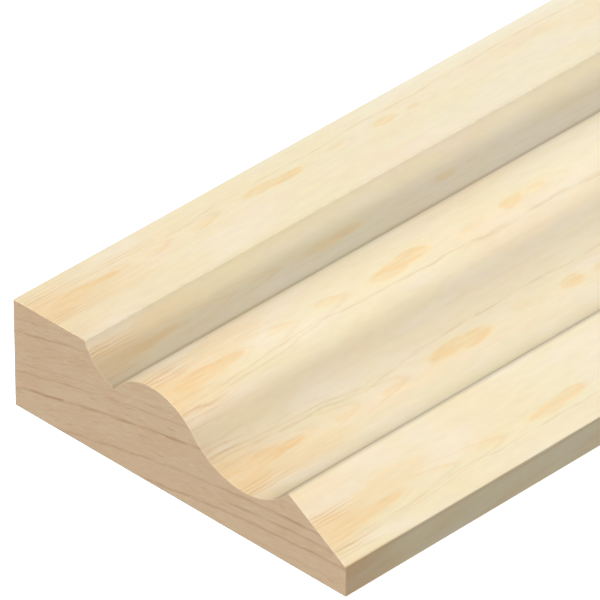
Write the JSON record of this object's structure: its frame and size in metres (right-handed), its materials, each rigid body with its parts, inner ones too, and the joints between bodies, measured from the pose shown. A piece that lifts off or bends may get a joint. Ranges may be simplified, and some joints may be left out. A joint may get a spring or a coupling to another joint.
{
  "type": "architrave moulding",
  "caption": "Square-cut length of pine ogee architrave: flat back, thick flat outer edge, cove, raised ogee, hollow, and a bevel down to a thin inner edge.",
  "frame": {"origin": "middle of the flat back, on the surface that the piece lies on", "axes": "+X along the grain, +Y across to the thick outer edge, +Z out of the back, towards the moulded face"},
  "size_m": [0.12, 0.069, 0.019],
  "materials": {
    "pine": "bare planed pine"
  },
  "bodies": {
    "root": {"architrave_moulding": "pine"}
  },
  "joints": []
}
